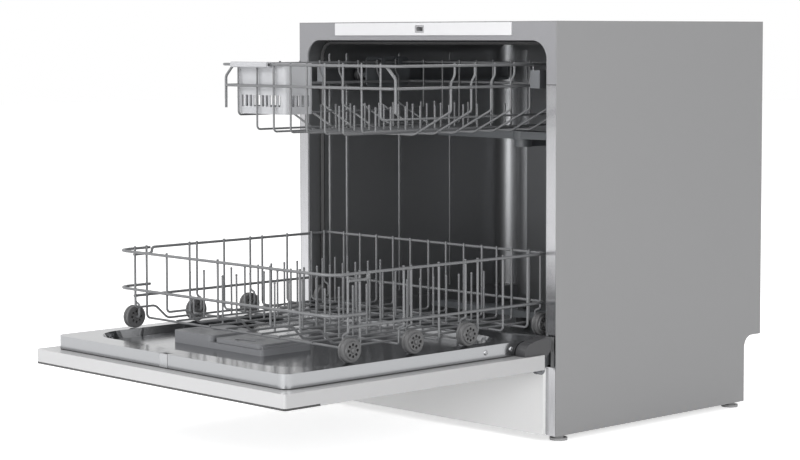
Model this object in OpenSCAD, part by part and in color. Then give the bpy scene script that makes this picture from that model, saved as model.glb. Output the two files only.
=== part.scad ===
// Compact two-rack dishwasher with its door open and both racks drawn out.
// Millimetres, +Z up, floor at z = 0. The cabinet's front faces -Y.
// All pieces are drawn from the cabinet's front plane; placed() then puts
// the origin under the middle of the open machine's footprint.

/* [Cabinet] */
// Width over the side panels
cab_w = 600; // [560:5:640]
// Depth of the side panels
cab_d = 515; // [505:5:560]
// Height over the top panel
cab_h = 650; // [640:5:700]
// Clear height under the side panels
foot_gap = 9; // [6:1:20]
// Cabinet sheet
sheet = 1; // [0.8:0.1:1.5]
// Width of the polished strip each side of the opening
strip_w = 20.5; // [18:0.5:24]
// Height of the bar over the opening
crossbar_h = 23; // [20:1:40]
// Depth of the step at the back's foot, for the hoses
notch_d = 44; // [35:1:60]
// Height of that step above the floor
notch_h = 120; // [100:1:130]
// Top edge of the plinth panel
plinth_top = 114; // [100:1:115]
// How far the plinth stands before the front plane
plinth_out = 6.5; // [3:0.5:12]

/* [Tub] */
// Tub sheet
tub_t = 1.5; // [1:0.1:2]
// Depth from the front plane to the inside of the back wall
tub_depth = 488; // [480:1:500]
// Radius of the tub's upper and rear corners
tub_r = 30; // [20:1:40]
// Height of the track that the lower wheels run on
track_z = 161.1; // [160:0.1:162]
// Height of the tub floor
tub_floor = 132; // [131:1:134]
// Width of the wheel ledge each side
ledge_w = 35.5; // [30:0.5:36]
// How far the wall beads stand proud
bead = 1.8; // [1:0.1:2.5]

/* [Door] */
// How far the open door reaches before the front plane
door_reach = 547; // [540:1:560]
// Underside of the open door
door_z = 116; // [116:0.5:117]
// Thickness of the door's outer shell
door_t = 23; // [20:0.5:24]
// Gap between the open door and the front plane
door_gap = 25; // [24:1:27]
// Length of the black fascia along the door
fascia_l = 65; // [55:1:75]
// Thickness of the black fascia
fascia_t = 3.2; // [2.5:0.1:4]
// How far the liner is set in from the far edge
liner_inset = 21; // [18:1:24]
// Depth of the liner's pan
pan_depth = 12; // [8:0.5:13]
// Width of the flat rim beside the pan
rim_w = 26; // [22:1:26]

/* [Lower rack] */
// Width between the side wires' centres
lower_w = 514; // [500:1:516]
// How far the drawn-out rack reaches before the front plane
lower_out = 422; // [400:1:430]
// Length of the rack
lower_l = 448; // [430:1:450]
// Height of the rim wire above the wheel axles
rim_over_axle = 109; // [95:1:115]
// Wheel diameter
wheel_d = 36; // [30:1:36]
// Wheel width
wheel_w = 12; // [9:1:13]
// Height of the plate tines above the rack floor
tine_h = 78; // [50:1:85]

/* [Upper rack] */
// Width between the rim wires' centres
upper_w = 416; // [400:1:416]
// How far the drawn-out rack reaches before the front plane
upper_out = 247; // [230:1:255]
// Length of the rack
upper_l = 420; // [400:1:425]
// Height of the rim wire
upper_z = 582; // [578:1:584]
// Roller diameter
roller_d = 24; // [20:1:25]
// Height of the short tines above the rack floor
short_tine_h = 42; // [20:1:50]

/* [Wires] */
// Rim wire, over its coating
rim_d = 4.4; // [4:0.2:5]
// Wires that cross from rim to rim
wall_d = 3.6; // [3.2:0.2:4]
// Thin floor wires and tines
floor_d = 3.2; // [2.6:0.2:3.4]

/* [Washing parts] */
// Reach of the lower spray arm
lower_arm_r = 222; // [190:1:225]
// Reach of the upper spray arm
upper_arm_r = 205; // [170:1:225]
// Clearance round every turning or sliding fit
run_gap = 0.4; // [0.3:0.05:0.6]

/* [Hidden] */
$fn = 32;
eps = 0.01;
half = cab_w / 2;
// Middle of the open machine's footprint, from the front plane
mid_y = (cab_d - door_reach) / 2;
// Half widths of the opening and of the tub, inside and outside
open_x = half - strip_w;
tub_in = open_x - 2;
tub_out = tub_in + tub_t;
open_top = cab_h - crossbar_h - 7;
tub_top = open_top + 0.5;
open_floor = plinth_top + 2;
frame_t = 1.2;
ledge_x = tub_in - ledge_w;
ledge_y = 24;
// Open door, bottom to top: outer shell, seal, liner
shell_top = door_z + door_t;
seal_t = 2;
liner_z = shell_top + seal_t;
liner_x = half - 24;
liner_far = -door_reach + liner_inset;
liner_near = -8;
pan_x = liner_x - rim_w;
pan_z = track_z - pan_depth;
hinge_y = -24;
hinge_z = door_z - 0.5;
pin_r = 3;
// Wash system axes
arm_y = 245;
sump_x = 60;
sump_r = 76;
filter_x = 75;
filter_r = 33;
salt_x = -160;
salt_y = 130;
float_x = 170;
float_y = 110;
spigot_r = 6;
post_top = 145;
branch_z = 438;
hose_y = cab_d - notch_d;
hose_z = 80;
inlet_x = 200;
drain_x = 150;
inlet_r = 13.2;
drain_r = 10;
// Dispenser, on the pan's floor
box_x = -155;
box_l = -60;
box_r = 62;
box_far = -390;
box_z = pan_z + 18.9;
cap_x = -108;
cap_y = -322;
// Fascia buttons
button_x = 240;
button_y = -door_reach + 33;
button_r = 6;
// Lower rack
seat = 0.5;
axle_z = track_z + seat + wheel_d / 2;
axle_r = wall_d / 2;
lower_side = lower_w / 2;
lower_front = -lower_out;
lower_rear = lower_front + lower_l;
lower_rim = axle_z + rim_over_axle;
lower_floor = axle_z - 3.5;
wheel_y = [for (d = [33, 158, 271, 436]) lower_front + d];
// Upper rack
upper_front = -upper_out;
upper_rear = upper_front + upper_l;
upper_rim_x = upper_w / 2;
upper_side = upper_rim_x - 8;
upper_floor = upper_z - 108;
roller_z = upper_z - 22;
roller_w = 9;
roller_x = 244;
roller_y = [upper_front + 342, upper_front + 402];

// ---- helpers ----
module placed() {
  translate([0, -mid_y, 0]) children();
}

module both_sides() {
  children();
  mirror([1, 0, 0]) children();
}

// Outlines given a thickness across X, Y or Z
module across_x(x0, x1) {
  translate([x0, 0, 0]) rotate([90, 0, 90]) linear_extrude(x1 - x0) children();
}

module across_y(y0, y1) {
  translate([0, y1, 0]) rotate([90, 0, 0]) linear_extrude(y1 - y0) children();
}

module across_z(z0, z1) {
  translate([0, 0, z0]) linear_extrude(z1 - z0) children();
}

module block(x0, x1, y0, y1, z0, z1) {
  translate([x0, y0, z0]) cube([x1 - x0, y1 - y0, z1 - z0]);
}

module shaft_x(x0, x1, y, z, r) {
  translate([x0, y, z]) rotate([0, 90, 0]) cylinder(h = x1 - x0, r = r);
}

module shaft_y(x, y0, y1, z, r) {
  translate([x, y1, z]) rotate([90, 0, 0]) cylinder(h = y1 - y0, r = r);
}

module shaft_z(x, y, z0, z1, r) {
  translate([x, y, z0]) cylinder(h = z1 - z0, r = r);
}

module box_outline(x0, x1, y0, y1) {
  translate([x0, y0]) square([x1 - x0, y1 - y0]);
}

// Rectangle with all four corners round
module round_box(x0, x1, y0, y1, r) {
  box_outline(x0 + r, x1 - r, y0, y1);
  box_outline(x0, x1, y0 + r, y1 - r);
  for (x = [x0 + r, x1 - r], y = [y0 + r, y1 - r]) translate([x, y]) circle(r);
}

// Outline of half width x, from y0 to y1, whose two corners at y1 are round
module arch(x, y0, y1, r) {
  box_outline(-x, x, y0, y1 - r);
  box_outline(-x + r, x - r, y0, y1);
  for (s = [-1, 1]) translate([s * (x - r), y1 - r]) circle(r);
}

// The same, with the two round corners at y0
module cradle(x, y0, y1, r) {
  box_outline(-x, x, y0 + r, y1);
  box_outline(-x + r, x - r, y0, y1);
  for (s = [-1, 1]) translate([s * (x - r), y0 + r]) circle(r);
}

// ---- wires ----
function unit(v) = v / norm(v);
function square_on(v) = max(abs(v.x), abs(v.y), abs(v.z)) > norm(v) - 1e-6;

// A straight wire from a to b, cut short by trim at both ends
module rod(a, b, d, trim = 0) {
  v = b - a;
  translate(a) rotate([0, acos(v.z / norm(v)), atan2(v.y, v.x)]) translate([0, 0, trim])
    cylinder(h = norm(v) - 2 * trim, d = d);
}

// The bend at corner p between the legs from a and to b, which takes cut off each leg
module bend(a, p, b, cut, d) {
  u = unit(p - a);
  v = unit(b - p);
  turn = acos(u * v);
  r = cut / tan(turn / 2);
  n = unit(v - (u * v) * u);
  w = cross(u, n);
  translate(p) multmatrix([
    [-n.x, u.x, w.x, 0],
    [-n.y, u.y, w.y, 0],
    [-n.z, u.z, w.z, 0],
    [0, 0, 0, 1]
  ]) translate([-r, -cut, 0]) rotate_extrude(angle = turn) translate([r, 0]) circle(d = d);
}

// A wire along the points p. A sloping leg is a hair thinner and ends inside its bends.
module wire(p, d, cut) {
  last = len(p) - 1;
  for (i = [0:last - 1]) {
    u = unit(p[i + 1] - p[i]);
    a = i == 0 ? p[0] : p[i] + u * cut;
    b = i == last - 1 ? p[last] : p[i + 1] - u * cut;
    if (!square_on(u)) rod(p[i], p[i + 1], d - 0.1, cut - 0.4);
    else if (norm(b - a) > eps) rod(a, b, d);
  }
  // each bend starts at its square leg, where it must meet its rod exactly
  for (i = [1:1:last - 1])
    if (square_on(p[i + 1] - p[i])) bend(p[i + 1], p[i], p[i - 1], cut, d);
    else bend(p[i - 1], p[i], p[i + 1], cut, d);
}

// Distance between the centres of two wires welded where they cross
function weld(a, b) = 0.375 * (a + b);

// ---- cabinet ----
module side_outline() {
  r = 20;
  difference() {
    box_outline(0, cab_d, foot_gap, cab_h);
    box_outline(hose_y, cab_d + 1, 0, notch_h - r);
    box_outline(hose_y + r, cab_d + 1, 0, notch_h);
    translate([hose_y + r, notch_h - r]) circle(r);
  }
}

module side_panel() {
  across_x(half - sheet, half) side_outline();
  // front and back edges folded inwards
  block(half - 12, half - sheet, frame_t, frame_t + 1, foot_gap, cab_h - 14);
  block(half - 12, half - sheet, cab_d - sheet - 1, cab_d - sheet, notch_h + 2, cab_h - 14);
}

module side_panel_right() {
  color("gray") placed() side_panel();
}

module side_panel_left() {
  color("gray") placed() mirror([1, 0, 0]) side_panel();
}

module top_panel() {
  x = half - sheet;
  color("gray") placed() {
    block(-x, x, 0, cab_d - sheet, cab_h - sheet, cab_h);
    block(-x + 12, x - 12, frame_t, frame_t + 1, cab_h - 5, cab_h - sheet);
    block(-x + 12, x - 12, cab_d - sheet - 1, cab_d - sheet, cab_h - 13, cab_h - sheet);
    both_sides() block(x - 1, x, 4, cab_d - 4, cab_h - 13, cab_h - sheet);
  }
}

module back_panel() {
  x = half - sheet;
  color("gray") placed() difference() {
    block(-x, x, cab_d - sheet, cab_d, notch_h, cab_h);
    // vent slots, low down
    for (i = [-5:5]) across_y(cab_d - 5, cab_d + 1) round_box(i * 18 - 3, i * 18 + 3, 150, 190, 2.9);
  }
}

module base_tray() {
  x = half - 1.5;
  z1 = 60;
  color("dimgray") placed() difference() {
    union() {
      difference() {
        block(-x, x, 8, hose_y - 1, foot_gap, z1);
        block(-x + 3, x - 3, 11, hose_y - 4, foot_gap + 3, z1 + 1);
      }
      // back wall behind the hoses, and bosses over the feet
      block(-x, x, hose_y - 4, hose_y - 1, foot_gap, notch_h - 2);
      for (sx = [-1, 1], y = [foot_front_y, foot_back_y]) shaft_z(sx * foot_x, y, foot_gap, 34, 10);
    }
    for (sx = [-1, 1], y = [foot_front_y, foot_back_y])
      shaft_z(sx * foot_x, y, foot_gap - 1, 35, foot_r + run_gap);
    shaft_y(inlet_x, hose_y - 5, hose_y, hose_z, inlet_r + 1);
    shaft_y(drain_x, hose_y - 5, hose_y, hose_z, drain_r + 1);
    shaft_y(-inlet_x, hose_y - 5, hose_y, hose_z, gland_r + 0.1);
  }
}

foot_x = half - 16;
foot_front_y = 24;
foot_back_y = hose_y - 18;
foot_r = 5;
gland_r = 9;

module levelling_feet() {
  color("black") placed() for (sx = [-1, 1], y = [foot_front_y, foot_back_y]) {
    shaft_z(sx * foot_x, y, 0, 4, 14);
    translate([sx * foot_x, y, 4]) cylinder(h = foot_gap - 4, r = 9, $fn = 6);
    shaft_z(sx * foot_x, y, foot_gap, 30, foot_r);
  }
}

module plinth_panel() {
  x = open_x - 0.5;
  color("lightgray") placed() {
    block(-x, x, -plinth_out, -plinth_out + 1.5, foot_gap + 0.3, plinth_top);
    both_sides() block(x - 1.5, x, -plinth_out + 1.5, 0, foot_gap + 0.3, plinth_top);
    block(-x + 1.5, x - 1.5, -plinth_out + 1.5, 0, plinth_top - 1.5, plinth_top);
  }
}

module front_frame() {
  x = half - 1.3;
  color("silver") placed() across_y(0, frame_t) difference() {
    box_outline(-x, x, foot_gap + 0.3, cab_h - 1.2);
    arch(open_x, open_floor, open_top, tub_r);
    box_outline(-open_x, open_x, 0, open_floor - 20);
    // the hinges pass through here
    both_sides() box_outline(open_x - 1, half - 3.8, open_floor, open_floor + 48);
    box_outline(-10.5, 10.5, cab_h - 17.5, cab_h - 6);
  }
}

module crossbar_cover() {
  color("lightgray") placed() across_y(-2, 0) difference() {
    round_box(-206, 206, cab_h - 22, cab_h - 1.5, 1.5);
    box_outline(-10.5, 10.5, cab_h - 17.5, cab_h - 6);
  }
}

module door_catch() {
  z0 = cab_h - 17;
  z1 = cab_h - 6.5;
  color("dimgray") placed() {
    difference() {
      block(-9.8, 9.8, -1.4, 14, z0, z1);
      block(-7.5, 7.5, -2, 11, z0 + 2, z1 - 2);
    }
  }
}

// ---- tub ----
// The tub's hollow, or its outside when grown by its sheet
module tub_space(grow) {
  x = tub_in + grow;
  intersection() {
    across_y(frame_t, tub_depth + grow) union() {
      arch(x, track_z - grow, tub_top + grow, tub_r + grow);
      box_outline(-ledge_x - grow, ledge_x + grow, tub_floor - grow, track_z);
    }
    across_z(0, cab_h) arch(x + 1, -1, tub_depth + grow, tub_r + grow);
  }
  // gutter before the ledges
  block(-x, x, frame_t, ledge_y + grow, tub_floor - grow, track_z + 10);
}

module tub() {
  color("gray") placed() {
    difference() {
      union() {
        tub_space(tub_t);
        shaft_z(0, arm_y, tub_floor - 3 - tub_t, tub_floor - 1, recess_r + tub_t);
        // rim behind the front frame
        across_y(frame_t, frame_t + 1.2) arch(open_x + 1, open_floor + 49, open_top + 6, tub_r + 2);
        // apron below the gutter
        block(-tub_out, tub_out, frame_t, frame_t + 1.2, open_floor - 12, tub_floor);
      }
      difference() {
        translate([0, -eps, 0]) tub_space(0);
        tub_beads();
      }
      shaft_z(0, arm_y, tub_floor - 3, tub_floor + 1, recess_r);
      shaft_z(sump_x, arm_y, tub_floor - 6, tub_floor, sump_r + 1);
      shaft_z(salt_x, salt_y, tub_floor - 5, tub_floor + 1, 26.5);
      shaft_z(float_x, float_y, tub_floor - 5, tub_floor + 1, 3 + run_gap);
      shaft_z(0, feed_y, tub_floor - 5, tub_floor + 1, 6);
    }
  }
}

feed_y = tub_depth - 7.5;
// Shallow recess of the tub floor round the wash arm
recess_r = 148;

// Beads pressed in the side walls and broad ribs down the back wall
module tub_beads() {
  both_sides() {
    for (y = [50, 90, 217, 345]) shaft_z(tub_in + 3.2, y, track_z + 8, tub_top - 24, 5);
    for (x = [100, 232]) shaft_z(x, tub_depth + 37.5, tub_floor + 12, tub_top - 20, 39.6);
  }
}

module tub_gasket() {
  color("dimgray") placed() across_y(25, 33) difference() {
    arch(tub_in, track_z + 2, tub_top, tub_r + 1);
    arch(tub_in - 7, track_z, tub_top - 7, tub_r - 6);
  }
}

module sill_seal() {
  color("dimgray") placed() across_x(-240, 240) polygon([
    [3, tub_floor], [20, tub_floor], [20, tub_floor + 2], [8, tub_floor + 3],
    [5.5, tub_floor + 6], [3, tub_floor + 6]
  ]);
}

module upper_rails() {
  h = roller_d / 2 + run_gap;
  color("silver") placed() both_sides() {
    across_x(ledge_x - 2, 257.5) rail_section_end();
    difference() {
      block(240, 260, 5, 460, roller_z - h - 1.6, roller_z + h + 1.6);
      block(239, 257.5, 4, 461, roller_z - h, roller_z + h);
    }
    // lips that keep the rollers in
    for (z = [roller_z - h, roller_z + h - 2.5]) block(240, 241.5, 5, 460, z, z + 2.5);
    for (y = [70, 150, 280, 430]) shaft_x(260, tub_in, y, roller_z, 8);
  }
}

// Stops at the rail's ends
module rail_section_end() {
  h = roller_d / 2 + run_gap;
  for (y = [5, 458.5]) box_outline(y, y + 1.5, roller_z - h, roller_z + h);
}

// ---- washing parts ----
module sump() {
  z0 = 66;
  top = tub_floor - 4.5;
  color("dimgray") placed() {
    difference() {
      union() {
        shaft_z(sump_x, arm_y, z0, top, sump_r);
        shaft_z(sump_x, arm_y, top - 3, top, sump_r + 12);
      }
      shaft_z(sump_x, arm_y, z0 + 3, top + 1, sump_r - 2.5);
    }
    // post of the lower spray arm
    shaft_z(0, arm_y, z0 + 3, post_top, 12);
    shaft_z(0, arm_y, post_top, 160, spigot_r);
    shaft_z(0, arm_y, 158.6, 161.5, 9);
  }
}

module filter_plate() {
  z0 = tub_floor - 3;
  color("silver") placed() difference() {
    shaft_z(sump_x, arm_y, z0, z0 + 1.5, sump_r + 8);
    shaft_z(filter_x, arm_y, z0 - 1, z0 + 2, filter_r + run_gap);
    shaft_z(0, arm_y, z0 - 1, z0 + 2, 12 + run_gap);
    for (i = [0:23]) translate([sump_x, arm_y, z0 - 1]) rotate([0, 0, i * 15 + 7.5])
      translate([66, 0, 0]) cylinder(h = 3, r = 3);
  }
}

module filter_cartridge() {
  z0 = 72;
  z1 = tub_floor + 2;
  color("gray") placed() {
    difference() {
      shaft_z(filter_x, arm_y, z0, z1, filter_r);
      shaft_z(filter_x, arm_y, z0 + 2, z1 + 1, filter_r - 2);
      for (i = [0:9], z = [z0 + 14, z0 + 32]) translate([filter_x, arm_y, z]) rotate([0, 0, i * 36])
        translate([filter_r - 6, 0, 0]) rotate([0, 90, 0]) cylinder(h = 8, r = 6);
    }
    // rim over the plate, and the bar it is turned by
    difference() {
      shaft_z(filter_x, arm_y, tub_floor - 1, z1, filter_r + 3);
      shaft_z(filter_x, arm_y, tub_floor - 2, z1 + 1, filter_r);
    }
    block(filter_x - 32, filter_x + 32, arm_y - 3, arm_y + 3, z1 - 6, tub_floor + 10);
  }
}

module feed_pipe() {
  top = branch_z + 12;
  color("gray") placed() {
    across_z(tub_floor, top) {
      box_outline(-10, 10, feed_y - 7, feed_y + 7);
      for (x = [-10, 10]) translate([x, feed_y]) circle(7);
    }
    block(-8, 8, arm_y, feed_y - 7, branch_z, top);
    shaft_z(0, arm_y, branch_z, top, 15);
    shaft_z(0, arm_y, top, top + 17, spigot_r);
    shaft_z(0, arm_y, top + 15.5, top + 18, 9);
  }
}

// A spray arm of reach r about its hub; its jets are rows of small holes
module spray_arm(r, z0, z1) {
  difference() {
    union() {
      for (s = [0, 180]) rotate([0, 0, s]) difference() {
        translate([0, 0, z0 + 1]) linear_extrude(z1 - z0 - 1.5) {
          polygon([[0, -17], [r - 12, -12], [r - 12, 12], [0, 17]]);
          translate([r - 12, 0]) circle(12);
        }
        // the tips thin out on top
        translate([r - 40, 0, z1 + 17]) rotate([0, 12, 0]) cube([140, 60, 30], center = true);
      }
      translate([0, 0, z0]) cylinder(h = z1 - z0, r = 19);
    }
    translate([0, 0, z0 - 1]) cylinder(h = z1 - z0 + 2, r = spigot_r + run_gap);
    for (s = [0, 180], i = [0:5]) rotate([0, 0, s]) translate([r * (0.3 + 0.11 * i), 4 - 1.6 * i, z0 + 4])
      cylinder(h = 20, r = 1.6);
  }
}

module lower_spray_arm() {
  color("gray") placed() translate([0, arm_y, 0]) spray_arm(lower_arm_r, post_top + run_gap, 158);
}

module upper_spray_arm() {
  z = branch_z + 12 + run_gap;
  color("gray") placed() translate([0, arm_y, 0]) spray_arm(upper_arm_r, z, z + 14.5);
}

module wash_pump() {
  y = 208;
  z = 58;
  color("dimgray") placed() {
    shaft_x(-165, -62, y, z, 34);
    shaft_x(-62, -30, y, z, 40);
    shaft_x(-171, -165, y, z, 24);
    // delivery stub into the sump's side and the feet of the motor
    shaft_x(-30, -14, y + 10, z + 26, 9);
    for (x = [-150, -80]) block(x - 8, x + 8, y - 26, y + 26, foot_gap + 3, z - 24);
  }
}

module drain_pump() {
  y = 352;
  color("dimgray") placed() {
    shaft_z(drain_x, y, foot_gap + 3, 66, 26);
    shaft_z(drain_x, y, 66, 94, 30);
    shaft_y(drain_x, y, hose_y + 27, hose_z, drain_r);
    for (d = [12, 19]) shaft_y(drain_x, hose_y + d, hose_y + d + 2, hose_z, drain_r + 1);
  }
}

module inlet_valve() {
  color("white") placed() {
    block(inlet_x - 22, inlet_x + 22, hose_y - 40, hose_y - 4, hose_z - 26, hose_z + 26);
    difference() {
      shaft_y(inlet_x, hose_y - 4, hose_y + 29, hose_z, inlet_r);
      shaft_y(inlet_x, hose_y + 8, hose_y + 30, hose_z, 8);
    }
  }
}

module cable_gland() {
  color("black") placed() difference() {
    union() {
      shaft_y(-inlet_x, hose_y - 10, hose_y + 6, hose_z, gland_r);
      for (y = [hose_y - 10, hose_y - 1]) shaft_y(-inlet_x, y, y + 6, hose_z, gland_r + 4);
    }
    shaft_y(-inlet_x, hose_y - 11, hose_y + 7, hose_z, 4);
  }
}

module salt_container() {
  color("gray") placed() difference() {
    union() {
      shaft_z(salt_x, salt_y, 34, tub_floor - 8, 36);
      shaft_z(salt_x, salt_y, tub_floor - 8, tub_floor - tub_t, 32);
      shaft_z(salt_x, salt_y, tub_floor - 8, tub_floor + 7, 25);
    }
    shaft_z(salt_x, salt_y, 37, tub_floor + 8, 22);
  }
}

module salt_cap() {
  z0 = tub_floor + 0.6;
  color("gray") placed() {
    difference() {
      shaft_z(salt_x, salt_y, z0, tub_floor + 9.5, 30);
      shaft_z(salt_x, salt_y, z0 - 1, tub_floor + 7 + run_gap, 25 + run_gap);
    }
    block(salt_x - 26, salt_x + 26, salt_y - 3.5, salt_y + 3.5, tub_floor + 9.5, tub_floor + 12.5);
  }
}

module float() {
  color("gray") placed() {
    shaft_z(float_x, float_y, tub_floor + 1.5, tub_floor + 7.5, 15);
    shaft_z(float_x, float_y, tub_floor - 24, tub_floor + 1.5, 3);
  }
}

// ---- door ----
module hinge_brackets() {
  color("silver") placed() both_sides() {
    across_x(281, 283.5) {
      translate([hinge_y, hinge_z]) circle(8);
      polygon([
        [hinge_y - 3, hinge_z - 7.4], [0, 119], [44, 119], [44, 158], [2, 158], [hinge_y + 4, hinge_z + 7]
      ]);
    }
    shaft_x(283.5, 295, hinge_y, hinge_z, pin_r);
    // foot screwed to the frame's back
    block(283.5, half - 12.5, frame_t, frame_t + 1.5, open_floor + 50, open_floor + 70);
    block(281, 283.5, frame_t, 44, 157, open_floor + 70);
  }
}

module hinge_arms() {
  color("silver") placed() both_sides() {
    difference() {
      across_x(289.5, 292.5) {
        translate([hinge_y, hinge_z]) circle(8);
        polygon([
          [hinge_y + 6, hinge_z + 5], [hinge_y - 2, 128], [-95, 136], [-95, 122], [-40, 120],
          [hinge_y - 5, hinge_z - 6]
        ]);
      }
      shaft_x(289, 293, hinge_y, hinge_z, pin_r + run_gap);
    }
    block(280, 292.5, -95, -60, 135.5, shell_top - 1.2);
  }
}

module door_outer_panel() {
  t = 1.2;
  f = door_z + fascia_t;
  y1 = -door_gap;
  y2 = -door_reach + fascia_l;
  color("lightgray") placed() difference() {
    across_z(door_z, shell_top) cradle(half, -door_reach, y1, 4);
    across_z(f + t, shell_top - t) cradle(half - t, -door_reach + t, y1 - t, 3);
    block(-half + t, half - t, y2 + t, y1 - t, door_z + t, f + t + eps);
    // room for the fascia, and the opening under the liner
    block(-half - 1, half + 1, -door_reach - 1, y2, door_z - 1, f);
    block(-262, 262, -door_reach + 36, y1 - 12, shell_top - 5, shell_top + 1);
    // the hinges come through the near edge
    both_sides() block(279, 297, y1 - 16, y1 + 1, door_z - 1, shell_top - t);
    for (s = [-1, 1]) shaft_z(s * button_x, button_y, f - 1, f + 2, button_r + 3);
  }
}

module control_fascia() {
  color("black") placed() difference() {
    across_z(door_z, door_z + fascia_t) cradle(half, -door_reach, -door_reach + fascia_l - 0.3, 4);
    for (s = [-1, 1]) shaft_z(s * button_x, button_y, door_z - 1, door_z + 5, button_r + run_gap);
  }
}

module control_board() {
  z0 = door_z + fascia_t + 1.2;
  color("green") placed() {
    block(-150, 50, -540, -490, z0 + 5, z0 + 6.6);
    for (x = [-142, 42], y = [-534, -496]) shaft_z(x, y, z0, z0 + 5, 3);
    block(-120, -80, -530, -505, z0 + 6.6, z0 + 14);
    block(0, 30, -532, -500, z0 + 6.6, z0 + 12);
  }
}

module push_button(x) {
  color("silver") placed() {
    shaft_z(x, button_y, door_z - 0.8, door_z + fascia_t + 1, button_r);
    shaft_z(x, button_y, door_z + fascia_t + 0.5, door_z + fascia_t + 2.5, button_r + 2);
  }
}

module door_edge_seal() {
  color("black") placed() across_z(shell_top, liner_z) difference() {
    cradle(liner_x - 1, liner_far + 1, liner_near - 18, 14);
    cradle(liner_x - 18, liner_far + 20, liner_near - 30, 8);
  }
}

// The liner's pan, grown by t all round
module pan(t) {
  r = 65;
  hull() {
    across_z(track_z, track_z + eps) pan_outline(pan_x + t, r + t);
    across_z(pan_z - t, pan_z - t + eps) pan_outline(pan_x - 9 + t, r - 9 + t);
  }
}

module pan_outline(x, r) {
  d = pan_x - x;
  round_box(-x, x, -488 + d, -50 - d, r, $fn = 48);
}

module door_liner() {
  t = 1.5;
  color("silver") placed() difference() {
    across_z(liner_z, track_z) cradle(liner_x, liner_far, liner_near, 15);
    pan(0);
    difference() {
      across_z(liner_z - 1, track_z - t) cradle(liner_x - t, liner_far + t, liner_near - t, 14);
      pan(t);
    }
    // notch for the latch
    block(-10, 10, liner_far - 1, liner_far + 12, liner_z - 1, track_z + 1);
  }
}

module corner_outline(t) {
  r = 16;
  x0 = -66 + t;
  polygon([
    [x0 + r, shell_top + 0.3], [-24.6, shell_top + 0.3], [-20 - t, 133], [-8 - t, 144], [-8 - t, 165 - t],
    [-19, 165 - t], [-46, 161 - t], [x0 + r, shell_top + 20]
  ]);
  intersection() {
    translate([x0 + r, shell_top + 4]) circle(r);
    box_outline(x0, x0 + r + 1, shell_top + 0.3, 162 - t);
  }
}

module corner_seals() {
  color("dimgray") placed() both_sides() difference() {
    across_x(277, 297) corner_outline(0);
    // hollow underneath, round the hinge
    across_x(279, 295.4) polygon([
      [-48, 130], [-48, shell_top + 14], [-30, 155], [-12, 158], [-12, 148], [-24, 130]
    ]);
  }
}

module door_latch() {
  y0 = liner_far - 0.3;
  color("lightgray") placed() difference() {
    block(-9.5, 9.5, y0, y0 + 11.8, liner_z, track_z - 0.3);
    // mouth of the hook
    block(-6, 6, y0 + 3, y0 + 8.8, shell_top + 8, track_z);
  }
}

module dispenser_body() {
  z1 = pan_z + 9;
  color("lightgray") placed() difference() {
    union() {
      across_z(pan_z, box_z) round_box(box_x, box_l, box_far, -298, 8);
      across_z(pan_z, z1) round_box(box_l - 10, box_r, box_far, -290, 6);
      // rail along the lid's right side
      block(54.5, 58, box_far + 6, -296, z1, z1 + 4);
    }
    // powder chamber under the lid
    across_z(z1 - 6, z1 + 1) round_box(-48, 42, box_far + 14, -308, 8);
    shaft_z(cap_x, cap_y, box_z - 7, box_z + 1, 8 + run_gap);
    // tablet scale cut in the left box
    for (i = [0:3]) block(-146, -132, -375 + 9 * i, -373 + 9 * i, box_z - 0.5, box_z + 1);
  }
}

module dispenser_lid() {
  z0 = pan_z + 9 + run_gap;
  color("lightgray") placed() difference() {
    across_z(z0, z0 + 6.5) round_box(-57, 53.5, -386, -300, 10);
    // finger dish
    across_z(z0 + 4.5, z0 + 8) round_box(-20, 20, -378, -362, 6);
  }
}

module rinse_aid_cap() {
  color("lightgray") placed() {
    difference() {
      shaft_z(cap_x, cap_y, box_z + run_gap, box_z + 3.4, 19);
      for (i = [0:11]) translate([cap_x, cap_y, box_z]) rotate([0, 0, i * 30]) translate([20.4, 0, 0])
        cylinder(h = 4, r = 2.4);
    }
    shaft_z(cap_x, cap_y, box_z - 6, box_z + run_gap, 8);
  }
}

// ---- lower rack ----
bow_y = [for (d = [56, 215, 297, 352, 407]) lower_front + d];
step_bow_y = lower_front + 143;
hoop_end = lower_front + 65;
front_wire_x = [-213, -131, -5, 118, 184];
floor_wire_x = [-172, -90, -48, 36, 77, 151, 222];
tine_x = [-172, -90, 36, 151];
tine_pitch = 28;
tines = 13;
rack_top = lower_rim + 4;
floor_z = lower_floor + weld(wall_d, floor_d);

// Hoops round the front, and the jogged rim and lower hoop round sides and back
module lower_hoops() {
  s = lower_side;
  f = lower_front;
  b = lower_rear;
  dip = lower_rim - 9.6;
  for (z = [lower_rim, lower_rim - 59])
    wire([[-s, hoop_end, z], [-s, f, z], [s, f, z], [s, hoop_end, z]], rim_d, 24);
  wire([
    [-s, f + 33, dip], [-s, hoop_end + 4, dip], [-s, hoop_end + 4, lower_rim], [-s, b, lower_rim],
    [s, b, lower_rim], [s, hoop_end + 4, lower_rim], [s, hoop_end + 4, dip], [s, f + 33, dip]
  ], rim_d, 4.8);
  z2 = lower_rim - 76;
  wire([[-s, f + 33, z2], [-s, b, z2], [s, b, z2], [s, f + 33, z2]], rim_d, 16);
}

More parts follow.
